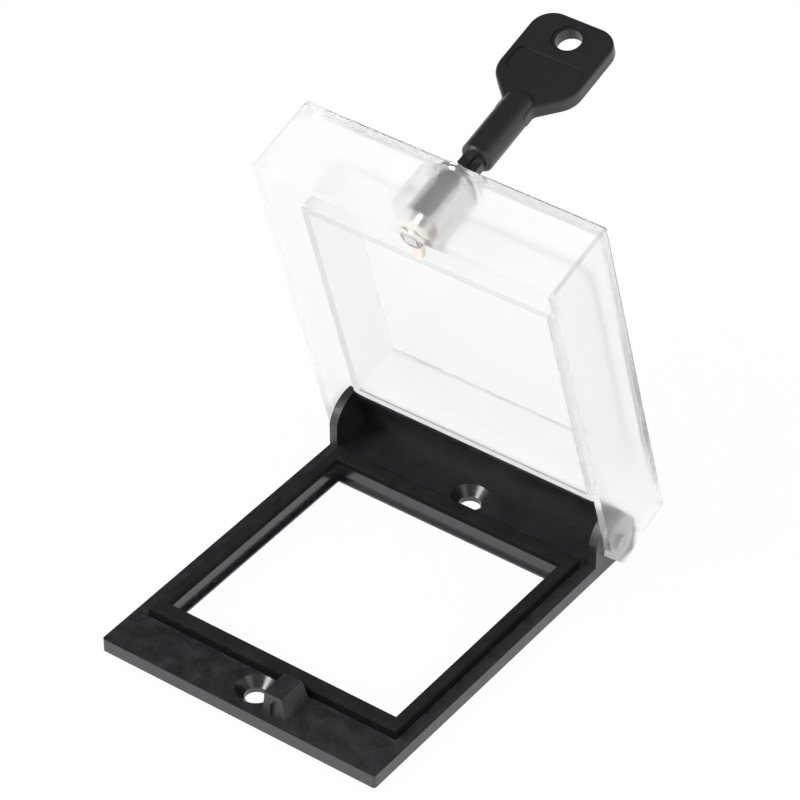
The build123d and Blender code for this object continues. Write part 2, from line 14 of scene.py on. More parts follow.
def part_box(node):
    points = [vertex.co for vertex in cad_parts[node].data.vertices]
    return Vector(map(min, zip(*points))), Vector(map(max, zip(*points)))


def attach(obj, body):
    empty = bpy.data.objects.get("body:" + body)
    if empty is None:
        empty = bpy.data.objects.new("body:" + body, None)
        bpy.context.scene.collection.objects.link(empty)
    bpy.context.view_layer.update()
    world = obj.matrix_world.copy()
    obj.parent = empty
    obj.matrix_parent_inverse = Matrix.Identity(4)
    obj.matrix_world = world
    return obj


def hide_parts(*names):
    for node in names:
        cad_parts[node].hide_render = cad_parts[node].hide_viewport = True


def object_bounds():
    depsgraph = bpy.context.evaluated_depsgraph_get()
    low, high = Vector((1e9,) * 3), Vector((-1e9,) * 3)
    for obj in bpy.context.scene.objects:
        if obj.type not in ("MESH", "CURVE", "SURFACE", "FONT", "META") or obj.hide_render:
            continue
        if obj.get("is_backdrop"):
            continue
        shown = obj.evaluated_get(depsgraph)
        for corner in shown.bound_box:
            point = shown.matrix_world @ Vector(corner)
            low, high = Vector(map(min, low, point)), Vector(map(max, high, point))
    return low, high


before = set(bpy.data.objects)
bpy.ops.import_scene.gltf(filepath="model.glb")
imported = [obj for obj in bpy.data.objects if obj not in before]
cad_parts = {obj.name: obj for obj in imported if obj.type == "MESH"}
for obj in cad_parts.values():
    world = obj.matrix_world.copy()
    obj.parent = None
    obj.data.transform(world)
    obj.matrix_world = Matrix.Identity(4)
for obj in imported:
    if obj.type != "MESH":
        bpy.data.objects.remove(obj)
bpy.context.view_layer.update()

logging.basicConfig(level=logging.INFO, format="%(name)s: %(message)s")
LOG = logging.getLogger("cover")

MM = 0.001

# Places on the CAD model in millimetres. W is measured from the hinge along the lid's normal,
# and V along the lid.
OPEN_ANGLE = math.radians(73.4)
HINGE_POINT = Vector((0.0, 35.75, 4.97)) * MM
LID_NORMAL = Vector((0.0, math.sin(OPEN_ANGLE), math.cos(OPEN_ANGLE)))
LID_ALONG = Vector((0.0, math.cos(OPEN_ANGLE), -math.sin(OPEN_ANGLE)))
WINDOW_HALF = 25.0
WINDOW_FOOT = 0.4
WINDOW_DRAFT = math.tan(math.radians(8.0))
SCREW_Y = 32.25
COUNTERSINK_RADIUS = 3.75
GASKET_HALF_WIDTH = 27.25
GASKET_HALF_LENGTH = 28.2
SEAM_Y = 26.55
PLATE_HALF_WIDTH = 30.0
LID_HALF_WIDTH = 31.8
LID_RIM_W = -3.77
LID_FACE_W = 12.63
LID_FRONT_V = -76.75
LID_BACK_V = 3.4
EAR_RADIUS = 7.0
RING_BOTTOM_W = -0.07
RING_REACH = 28.0
RING_SPAN = (-36.5, 29.0)
MOULD_FACE_Z = 2.75
WINDOW_TOP_Z = 3.27
# Painted highlight lines just outside the gasket's foot: distance out and half width in millimetres,
# then the noise gate that breaks them into patches
FOOT_HIGHLIGHT_LINES = ((0.42, 0.035), (0.9, 0.025))
FOOT_HIGHLIGHT_GATE = (0.42, 0.62)

# How much smoother the polished places are, and the haze's swing of the roughness
POLISH_SHARE = -0.4
HAZE_SWING = (0.85, 1.15)


class Slot(Enum):
    """The record's material slots."""

    FRAME = "black_plastic"
    GASKET = "gasket_rubber"
    LID = "clear_plastic"
    LOCK = "lock_metal"
    WAFER = "wafer_brass"
    SPRING = "spring_steel"
    CAM = "cam_plastic"
    KEY = "key_plastic"


class Body(Enum):
    """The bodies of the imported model."""

    BASE = "base"
    LID = "lid"
    PLUG = "plug"
    KEY = "key"


# Node groups


def value_input(group: bpy.types.NodeTree, name: str, default: float) -> None:
    """Add a number input with its default to a node group."""
    socket = group.interface.new_socket(name=name, in_out="INPUT", socket_type="NodeSocketFloat")
    socket.default_value = default


def colour_input(group: bpy.types.NodeTree, name: str, default: tuple[float, ...]) -> None:
    """Add a colour input with its default to a node group."""
    socket = group.interface.new_socket(name=name, in_out="INPUT", socket_type="NodeSocketColor")
    socket.default_value = (*default, 1.0)


class GroupLibrary:
    """Node groups that more than one finish uses, each built once."""

    def __init__(self) -> None:
        self.groups: dict[str, bpy.types.NodeTree] = {}

    def _start(self, name: str) -> tuple[bpy.types.NodeTree, bpy.types.Node, bpy.types.Node]:
        """Make an empty group.

        Args:
            name: Name of the group.

        Returns:
            The group, its input node and its output node.
        """
        group = bpy.data.node_groups.new(name, "ShaderNodeTree")
        source = group.nodes.new("NodeGroupInput")
        sink = group.nodes.new("NodeGroupOutput")
        self.groups[name] = group
        return group, source, sink

    def moulded_skin(self) -> bpy.types.NodeTree:
        """Colour, roughness and height of a moulded plastic or rubber skin.

        Returns:
            A group with Colour, Roughness and Height outputs.
        """
        if "MouldedSkin" in self.groups:
            return self.groups["MouldedSkin"]
        group, source, sink = self._start("MouldedSkin")
        colour_input(group, "Colour", (0.03, 0.03, 0.03))
        value_input(group, "Roughness", 0.45)
        value_input(group, "Grain Scale", 3000.0)
        value_input(group, "Flow Scale", 60.0)
        value_input(group, "Colour Variation", 0.15)
        value_input(group, "Roughness Variation", 0.1)
        value_input(group, "Speck", 0.3)
        value_input(group, "Polish", 0.0)
        group.interface.new_socket(name="Colour", in_out="OUTPUT", socket_type="NodeSocketColor")
        group.interface.new_socket(name="Roughness", in_out="OUTPUT", socket_type="NodeSocketFloat")
        group.interface.new_socket(name="Height", in_out="OUTPUT", socket_type="NodeSocketFloat")
        nodes, links = group.nodes, group.links
        place = nodes.new("ShaderNodeTexCoord")
        grain = nodes.new("ShaderNodeTexNoise")
        grain.inputs["Detail"].default_value = 3.0
        flow = nodes.new("ShaderNodeTexNoise")
        flow.inputs["Detail"].default_value = 4.0
        links.new(place.outputs["Object"], grain.inputs["Vector"])
        links.new(place.outputs["Object"], flow.inputs["Vector"])
        links.new(source.outputs["Grain Scale"], grain.inputs["Scale"])
        links.new(source.outputs["Flow Scale"], flow.inputs["Scale"])
        shade = self._swing(group, flow.outputs["Fac"], source.outputs["Colour Variation"])
        speck = self._swing(group, grain.outputs["Fac"], source.outputs["Speck"])
        shade = self._math(group, "MULTIPLY", shade, speck)
        tint = nodes.new("ShaderNodeVectorMath")
        tint.operation = "SCALE"
        links.new(source.outputs["Colour"], tint.inputs[0])
        links.new(shade, tint.inputs["Scale"])
        links.new(tint.outputs["Vector"], sink.inputs["Colour"])
        rough = self._swing(group, flow.outputs["Fac"], source.outputs["Roughness Variation"])
        rough = self._math(group, "MULTIPLY", rough, source.outputs["Roughness"])
        polish = source.outputs["Polish"]
        smoothing = self._math(group, "MULTIPLY_ADD", polish, POLISH_SHARE, 1.0)
        rough = self._math(group, "MULTIPLY", rough, smoothing)
        links.new(rough, sink.inputs["Roughness"])
        matte = self._math(group, "SUBTRACT", 1.0, polish)
        links.new(self._math(group, "MULTIPLY", grain.outputs["Fac"], matte), sink.inputs["Height"])
        return group

    @staticmethod
    def _math(group: bpy.types.NodeTree, operation: str, *terms: object) -> bpy.types.NodeSocket:
        """Add a Math node.

        Args:
            group: The group that gets the node.
            operation: The node's operation.
            *terms: Sockets to link or numbers to set, in order.

        Returns:
            The socket of the result.
        """
        node = group.nodes.new("ShaderNodeMath")
        node.operation = operation
        for number, term in enumerate(terms):
            if isinstance(term, (int, float)):
                node.inputs[number].default_value = term
            else:
                group.links.new(term, node.inputs[number])
        return node.outputs[0]

    def _band(
        self,
        group: bpy.types.NodeTree,
        signal: bpy.types.NodeSocket,
        centre: float,
        half: float,
        soft: float,
    ) -> bpy.types.NodeSocket:
        """Mark where a signal lies within a narrow band.

        Args:
            group: The group that gets the nodes.
            signal: The signal, in metres.
            centre: Middle of the band in millimetres.
            half: Half of the band's width in millimetres.
            soft: Width of the soft edge in millimetres.

        Returns:
            The socket of the mask, 1 inside the band.
        """
        away = self._math(group, "ABSOLUTE", self._math(group, "SUBTRACT", signal, centre * MM))
        ramp = group.nodes.new("ShaderNodeMapRange")
        ramp.inputs["From Min"].default_value = (half - soft / 2) * MM
        ramp.inputs["From Max"].default_value = (half + soft / 2) * MM
        ramp.inputs["To Min"].default_value = 1.0
        ramp.inputs["To Max"].default_value = 0.0
        group.links.new(away, ramp.inputs["Value"])
        return ramp.outputs["Result"]

    def lid_zones(self) -> bpy.types.NodeTree:
        """Height, edges and rims of the lid, measured in the lid's own directions.

        Returns:
            A group with Height, Edge, Rim, Ring and Ear outputs; Height is in metres above the hinge.
        """
        if "LidZones" in self.groups:
            return self.groups["LidZones"]
        group, _, sink = self._start("LidZones")
        for name in ("Height", "Edge", "Rim", "Ring", "Ear"):
            group.interface.new_socket(name=name, in_out="OUTPUT", socket_type="NodeSocketFloat")
        place = group.nodes.new("ShaderNodeTexCoord")
        split = group.nodes.new("ShaderNodeSeparateXYZ")
        group.links.new(place.outputs["Object"], split.inputs[0])
        across = self._math(group, "ABSOLUTE", split.outputs["X"])
        lengths = []
        for direction in (LID_NORMAL, LID_ALONG):
            product = group.nodes.new("ShaderNodeVectorMath")
            product.operation = "DOT_PRODUCT"
            product.inputs[1].default_value = tuple(direction)
            group.links.new(place.outputs["Object"], product.inputs[0])
            start = HINGE_POINT.dot(direction)
            lengths.append(self._math(group, "SUBTRACT", product.outputs["Value"], start))
        height, along = lengths
        group.links.new(height, sink.inputs["Height"])
        side = self._band(group, across, LID_HALF_WIDTH, 0.55, 0.5)
        front = self._band(group, along, LID_FRONT_V, 0.55, 0.5)
        back = self._band(group, along, LID_BACK_V, 0.55, 0.5)
        top = self._band(group, height, LID_FACE_W, 0.4, 0.4)
        ends = self._math(group, "MAXIMUM", front, back)
        border = self._math(group, "MAXIMUM", side, ends)
        upright = self._math(group, "MULTIPLY", side, ends)
        edge = self._math(group, "MAXIMUM", upright, self._math(group, "MULTIPLY", border, top))
        group.links.new(edge, sink.inputs["Edge"])
        ring = self._math(
            group,
            "MULTIPLY",
            self._band(group, height, RING_BOTTOM_W, 0.06, 0.04),
            self._band(group, across, 0.0, RING_REACH, 0.1),
        )
        ring = self._math(group, "MULTIPLY", ring, self._band(group, along, *RING_SPAN, 0.1))
        group.links.new(ring, sink.inputs["Ring"])
        square = self._math(
            group, "MULTIPLY_ADD", height, height, self._math(group, "MULTIPLY", along, along)
        )
        ear = self._band(group, self._math(group, "SQRT", square), 0.0, EAR_RADIUS, 1.2)
        group.links.new(ear, sink.inputs["Ear"])
        rim = self._math(group, "MAXIMUM", self._band(group, height, LID_RIM_W, 0.06, 0.04), ring)
        group.links.new(rim, sink.inputs["Rim"])
        return group

    def frame_zones(self) -> bpy.types.NodeTree:
        """Polished places, painted highlight lines and seam of the base frame.

        Returns:
            A group with three masks: the polished places, the painted highlight lines at the gasket's
                foot, and the seam.
        """
        if "FrameZones" in self.groups:
            return self.groups["FrameZones"]
        group, _, sink = self._start("FrameZones")
        for name in ("Polish", "FootHighlight", "Seam"):
            group.interface.new_socket(name=name, in_out="OUTPUT", socket_type="NodeSocketFloat")
        place = group.nodes.new("ShaderNodeTexCoord")
        split = group.nodes.new("ShaderNodeSeparateXYZ")
        group.links.new(place.outputs["Object"], split.inputs[0])
        across = self._math(group, "ABSOLUTE", split.outputs["X"])
        along = self._math(group, "ABSOLUTE", split.outputs["Y"])
        lean = self._math(group, "MULTIPLY", split.outputs["Z"], WINDOW_DRAFT)
        inward = self._math(group, "SUBTRACT", self._math(group, "MAXIMUM", across, along), lean)
        reach = WINDOW_HALF - WINDOW_FOOT * WINDOW_DRAFT + 0.06
        window = self._band(group, inward, 0.0, reach, 0.04)
        low = self._band(group, split.outputs["Z"], 0.0, WINDOW_TOP_Z, 0.04)
        window = self._math(group, "MULTIPLY", window, low)
        reach = self._math(group, "SUBTRACT", along, SCREW_Y * MM)
        square = self._math(
            group, "MULTIPLY_ADD", reach, reach, self._math(group, "MULTIPLY", across, across)
        )
        hole = self._band(group, self._math(group, "SQRT", square), 0.0, COUNTERSINK_RADIUS, 0.06)
        polish = self._math(group, "MAXIMUM", window, hole)
        group.links.new(polish, sink.inputs["Polish"])
        # Painted highlight: thin light lines on the mould face just outside the gasket's foot, broken
        # into patches by noise
        foot = self._math(
            group,
            "MAXIMUM",
            self._math(group, "SUBTRACT", across, GASKET_HALF_WIDTH * MM),
            self._math(group, "SUBTRACT", along, GASKET_HALF_LENGTH * MM),
        )
        near, far = (self._band(group, foot, middle, half, 0.06) for middle, half in FOOT_HIGHLIGHT_LINES)
        lines = self._math(group, "MAXIMUM", near, far)
        patches = group.nodes.new("ShaderNodeTexNoise")
        patches.inputs["Scale"].default_value = 900.0
        patches.inputs["Detail"].default_value = 4.0
        group.links.new(place.outputs["Object"], patches.inputs["Vector"])
        gate = group.nodes.new("ShaderNodeMapRange")
        gate.inputs["From Min"].default_value = FOOT_HIGHLIGHT_GATE[0]
        gate.inputs["From Max"].default_value = FOOT_HIGHLIGHT_GATE[1]
        group.links.new(patches.outputs["Fac"], gate.inputs["Value"])
        flat = self._band(group, split.outputs["Z"], MOULD_FACE_Z, 0.05, 0.04)
        patchy = self._math(group, "MULTIPLY", lines, gate.outputs[0])
        foot_highlight = self._math(group, "MULTIPLY", patchy, flat)
        group.links.new(foot_highlight, sink.inputs["FootHighlight"])
        seam = self._band(group, split.outputs["Y"], SEAM_Y, 0.11, 0.08)
        edge = self._band(group, across, PLATE_HALF_WIDTH, 0.75, 0.1)
        group.links.new(self._math(group, "MULTIPLY", seam, edge), sink.inputs["Seam"])
        return group

    @staticmethod
    def _swing(
        group: bpy.types.NodeTree, signal: bpy.types.NodeSocket, amount: bpy.types.NodeSocket
    ) -> bpy.types.NodeSocket:
        """Turn a 0 to 1 signal into a factor around 1.

        Args:
            group: The group that gets the nodes.
            signal: A signal from 0 to 1, 0.5 on average.
            amount: How far the factor swings either way.

        Returns:
            The socket of the factor.
        """
        centred = GroupLibrary._math(group, "MULTIPLY_ADD", signal, 2.0, -1.0)
        return GroupLibrary._math(group, "MULTIPLY_ADD", centred, amount, 1.0)


LIBRARY = GroupLibrary()


# Finishes


@dataclass(frozen=True)
class MouldedFinish:
    """A moulded skin, as on the frame, the gasket, the cam and the key."""

    name: str
    colour: tuple[float, float, float]
    roughness: float
    grain_scale: float = 3000.0
    grain_height: float = 0.02
    flow_scale: float = 60.0
    colour_variation: float = 0.12
    roughness_variation: float = 0.12
    specular: float = 0.5
    metallic: float = 0.0
    subsurface: float = 0.0
    speck: float = 0.3
    zoned: bool = False
    # Light grey of the painted highlight lines at the gasket's foot
    foot_highlight_colour: tuple[float, float, float] = (0.12, 0.12, 0.125)
    seam_colour: tuple[float, float, float] = (0.004, 0.004, 0.004)
    # Height in millimetres below which the colour carries painted shade, and the share of colour kept
    # there
    shaded_below: Optional[float] = None
    shaded_share: float = 0.5

    def build(self) -> bpy.types.Material:
        """Make the material.

        Returns:
            The material, with its own Principled shader.
        """
        material = bpy.data.materials.new(self.name)
        material.use_nodes = True
        nodes, links = material.node_tree.nodes, material.node_tree.links
        shader = nodes["Principled BSDF"]
        skin = nodes.new("ShaderNodeGroup")
        skin.node_tree = LIBRARY.moulded_skin()
        skin.inputs["Colour"].default_value = (*self.colour, 1.0)
        skin.inputs["Roughness"].default_value = self.roughness
        skin.inputs["Grain Scale"].default_value = self.grain_scale
        skin.inputs["Flow Scale"].default_value = self.flow_scale
        skin.inputs["Colour Variation"].default_value = self.colour_variation
        skin.inputs["Roughness Variation"].default_value = self.roughness_variation
        skin.inputs["Speck"].default_value = self.speck
        bump = nodes.new("ShaderNodeBump")
        bump.inputs["Strength"].default_value = 1.0
        bump.inputs["Distance"].default_value = self.grain_height * MM
        if self.zoned:
            self._mark(material, skin)
        elif self.shaded_below is not None:
            self._paint_side_shade(material, skin)
        else:
            links.new(skin.outputs["Colour"], shader.inputs["Base Color"])
        links.new(skin.outputs["Roughness"], shader.inputs["Roughness"])
        links.new(skin.outputs["Height"], bump.inputs["Height"])
        links.new(bump.outputs["Normal"], shader.inputs["Normal"])
        shader.inputs["Specular IOR Level"].default_value = self.specular
        shader.inputs["Metallic"].default_value = self.metallic
        if self.subsurface > 0:
            shader.inputs["Subsurface Weight"].default_value = self.subsurface
            shader.inputs["Subsurface Scale"].default_value = MM
        return material

    def _paint_side_shade(self, material: bpy.types.Material, skin: bpy.types.Node) -> None:
        """Paint shade on the sides, so that they are darker than the top, where less light falls.

        Args:
            material: The material that gets the nodes.
            skin: Its node of the moulded skin.
        """
        nodes, links = material.node_tree.nodes, material.node_tree.links
        place = nodes.new("ShaderNodeTexCoord")
        split = nodes.new("ShaderNodeSeparateXYZ")
        links.new(place.outputs["Object"], split.inputs[0])
        # Painted shade: below the given height the colour drops to this share
        share = nodes.new("ShaderNodeMapRange")
        share.inputs["From Min"].default_value = (self.shaded_below - 0.1) * MM
        share.inputs["From Max"].default_value = (self.shaded_below + 0.1) * MM
        share.inputs["To Min"].default_value = self.shaded_share
        links.new(split.outputs["Z"], share.inputs["Value"])
        tint = nodes.new("ShaderNodeVectorMath")
        tint.operation = "SCALE"
        links.new(skin.outputs["Colour"], tint.inputs[0])
        links.new(share.outputs["Result"], tint.inputs["Scale"])
        links.new(tint.outputs["Vector"], nodes["Principled BSDF"].inputs["Base Color"])

    def _mark(self, material: bpy.types.Material, skin: bpy.types.Node) -> None:
        """Add the frame's polished places, its painted highlight lines at the gasket's foot, and its
        seam.

        Args:
            material: The material that gets the nodes.
            skin: Its node of the moulded skin.
        """
        nodes, links = material.node_tree.nodes, material.node_tree.links
        zones = nodes.new("ShaderNodeGroup")
        zones.node_tree = LIBRARY.frame_zones()
        links.new(zones.outputs["Polish"], skin.inputs["Polish"])
        colour = skin.outputs["Colour"]
        # Mix in the painted highlight lines, then the dark seam
        for mask, shade in (("FootHighlight", self.foot_highlight_colour), ("Seam", self.seam_colour)):
            mixed = nodes.new("ShaderNodeMix")
            mixed.data_type = "RGBA"
            links.new(zones.outputs[mask], mixed.inputs[0])
            links.new(colour, mixed.inputs[6])
            mixed.inputs[7].default_value = (*shade, 1.0)
            colour = mixed.outputs[2]
        links.new(colour, nodes["Principled BSDF"].inputs["Base Color"])


@dataclass(frozen=True)
class ClearFinish:
    """The lid's plastic: a clear face and lightly frosted walls, with painted grey shade along its
    edges and its ring.
    """

    name: str = "clear_lid_plastic"
    clear_colour: tuple[float, float, float] = (0.986, 0.987, 0.988)
    frosted_colour: tuple[float, float, float] = (0.994, 0.994, 0.996)
    # Painted shade: grey along the lid's edges and along its ring
    edge_shade_colour: tuple[float, float, float] = (0.72, 0.72, 0.74)
    ring_shade_colour: tuple[float, float, float] = (0.78, 0.78, 0.80)
    clear_roughness: float = 0.05
    frosted_roughness: float = 0.47
    transmission: float = 0.94
    clear_from: float = 11.13
    blend_width: float = 0.15
    ior: float = 1.1
    haze_ior: float = 2.2
    haze_roughness: float = 0.35

    def build(self) -> bpy.types.Material:
        """Make the material.

        Returns:
            The material, with its own Principled shader.
        """
        material = bpy.data.materials.new(self.name)
        material.use_nodes = True
        nodes, links = material.node_tree.nodes, material.node_tree.links
        shader = nodes["Principled BSDF"]
        place = nodes.new("ShaderNodeTexCoord")
        zones = nodes.new("ShaderNodeGroup")
        zones.node_tree = LIBRARY.lid_zones()
        mask = nodes.new("ShaderNodeMapRange")
        mask.inputs["From Min"].default_value = (self.clear_from - self.blend_width) * MM
        mask.inputs["From Max"].default_value = (self.clear_from + self.blend_width) * MM
        links.new(zones.outputs["Height"], mask.inputs["Value"])
        haze = nodes.new("ShaderNodeTexNoise")
        haze.inputs["Scale"].default_value = 90.0
        haze.inputs["Detail"].default_value = 3.0
        links.new(place.outputs["Object"], haze.inputs["Vector"])
        rough = nodes.new("ShaderNodeMapRange")
        rough.inputs["To Min"].default_value = self.frosted_roughness
        rough.inputs["To Max"].default_value = self.clear_roughness
        smooth = nodes.new("ShaderNodeMath")
        smooth.operation = "MAXIMUM"
        links.new(mask.outputs["Result"], smooth.inputs[0])
        links.new(zones.outputs["Rim"], smooth.inputs[1])
        links.new(smooth.outputs[0], rough.inputs["Value"])
        swing = nodes.new("ShaderNodeMapRange")
        swing.inputs["To Min"].default_value = HAZE_SWING[0]
        swing.inputs["To Max"].default_value = HAZE_SWING[1]
        links.new(haze.outputs["Fac"], swing.inputs["Value"])
        hazed = nodes.new("ShaderNodeMath")
        hazed.operation = "MULTIPLY"
        links.new(rough.outputs["Result"], hazed.inputs[0])
        links.new(swing.outputs["Result"], hazed.inputs[1])
        links.new(hazed.outputs[0], shader.inputs["Roughness"])
        tint = nodes.new("ShaderNodeMix")
        tint.data_type = "RGBA"
        tint.inputs[6].default_value = (*self.frosted_colour, 1.0)
        tint.inputs[7].default_value = (*self.clear_colour, 1.0)
        links.new(mask.outputs["Result"], tint.inputs[0])
        colour = tint.outputs[2]
        # Paint grey shade along the edges and the ring
        for zone, shade in (("Edge", self.edge_shade_colour), ("Ring", self.ring_shade_colour)):
            marked = nodes.new("ShaderNodeMix")
            marked.data_type = "RGBA"
            links.new(zones.outputs[zone], marked.inputs[0])
            links.new(colour, marked.inputs[6])
            marked.inputs[7].default_value = (*shade, 1.0)
            colour = marked.outputs[2]
        links.new(colour, shader.inputs["Base Color"])
        links.new(zones.outputs["Ear"], shader.inputs["Coat Weight"])
        shader.inputs["Coat Roughness"].default_value = self.haze_roughness
        shader.inputs["Coat IOR"].default_value = self.haze_ior
        shader.inputs["Transmission Weight"].default_value = self.transmission
        shader.inputs["IOR"].default_value = self.ior
        return material


FRAME_PLASTIC = MouldedFinish(
    "satin_black_plastic",
    (0.0145, 0.0148, 0.0192),
    0.4,
    grain_height=0.09,
    flow_scale=330.0,
    colour_variation=1.0,
    roughness_variation=0.5,
    specular=1.0,
    speck=1.2,
    zoned=True,
)
GASKET_RUBBER = MouldedFinish(
    "foam_rubber",
    (0.0130, 0.0128, 0.0127),
    0.85,
    grain_scale=4200.0,
    grain_height=0.05,
    flow_scale=300.0,
    colour_variation=0.6,
    specular=0.12,
    # Painted shade: the gasket's sides below 4.2 mm are half as bright as its top
    shaded_below=4.2,
)
LOCK_METAL = MouldedFinish("plated_zinc", (0.78, 0.77, 0.76), 0.14, metallic=1.0, speck=0.04)
WAFER_BRASS = MouldedFinish("stamped_brass", (0.72, 0.55, 0.28), 0.28, metallic=1.0)
SPRING_STEEL = MouldedFinish("drawn_steel", (0.5, 0.5, 0.52), 0.25, metallic=1.0)
CAM_PLASTIC = MouldedFinish("natural_plastic", (0.88, 0.80, 0.72), 0.4, subsurface=0.3, speck=0.05)
KEY_PLASTIC = MouldedFinish(
    "satin_key_plastic", (0.0140, 0.0140, 0.0160), 0.36, grain_scale=2600.0, speck=0.5, specular=0.7
)


# The finish of each material slot
FINISHES: dict[Slot, Union[MouldedFinish, ClearFinish]] = {
    Slot.FRAME: FRAME_PLASTIC,
    Slot.GASKET: GASKET_RUBBER,
    Slot.LID: ClearFinish(),
    Slot.LOCK: LOCK_METAL,
    Slot.WAFER: WAFER_BRASS,
    Slot.SPRING: SPRING_STEEL,
    Slot.CAM: CAM_PLASTIC,
    Slot.KEY: KEY_PLASTIC,
}


# Stage


@dataclass(frozen=True)
class PhotoCamera:
    """The camera of the photograph, solved from the object's own edges."""

    azimuth: float = math.radians(36.0948)
    elevation: float = math.radians(38.7596)
    roll: float = math.radians(0.0809)
    distance: float = 773.9206
    target: tuple[float, float, float] = (0.0, -3.0, 0.0)
    slide_right: float = 7.9084
    slide_up: float = 37.7818
    focal_pixels: float = 4314.37
    image_width: float = 800.0
    sensor_width: float = 36.0

    def build(self) -> bpy.types.Object:
        """Make the camera and set it as the scene's own.

        Returns:
            The camera object.
        """
        sin_a, cos_a = math.sin(self.azimuth), math.cos(self.azimuth)
        sin_e, cos_e = math.sin(self.elevation), math.cos(self.elevation)
        right = Vector((cos_a, sin_a, 0.0))
        back = Vector((sin_a * cos_e, -cos_a * cos_e, sin_e))
        up = back.cross(right)
        sin_r, cos_r = math.sin(self.roll), math.cos(self.roll)
        right, up = cos_r * right + sin_r * up, cos_r * up - sin_r * right
        place = Vector(self.target) + back * self.distance
        place += right * self.slide_right + up * self.slide_up
        data = bpy.data.cameras.new("photo_camera")
        data.sensor_width = self.sensor_width
        data.lens = self.focal_pixels / self.image_width * self.sensor_width
        data.clip_start, data.clip_end = 0.05, 20.0
        camera = bpy.data.objects.new("photo_camera", data)
        turn = Matrix((right, up, back)).transposed().to_4x4()
        camera.matrix_world = Matrix.Translation(place * MM) @ turn
        bpy.context.scene.collection.objects.link(camera)
        bpy.context.scene.camera = camera
        return camera


@dataclass(frozen=True)
class Lamp:
    """A soft box that looks at the object."""

    name: str
    direction: tuple[float, float, float]
    distance: float
    size: float
    power: float

    def build(self) -> bpy.types.Object:
        """Make the lamp.

        Returns:
            The lamp object.
        """
        data = bpy.data.lights.new(self.name, "AREA")
        data.shape = "SQUARE"
        data.size = self.size
        data.energy = self.power
        lamp = bpy.data.objects.new(self.name, data)
        away = Vector(self.direction).normalized()
        lamp.location = away * self.distance + Vector((0.0, 0.0, 0.02))
        lamp.rotation_mode = "QUATERNION"
        lamp.rotation_quaternion = away.to_track_quat("Z", "Y")
        bpy.context.scene.collection.objects.link(lamp)
        return lamp


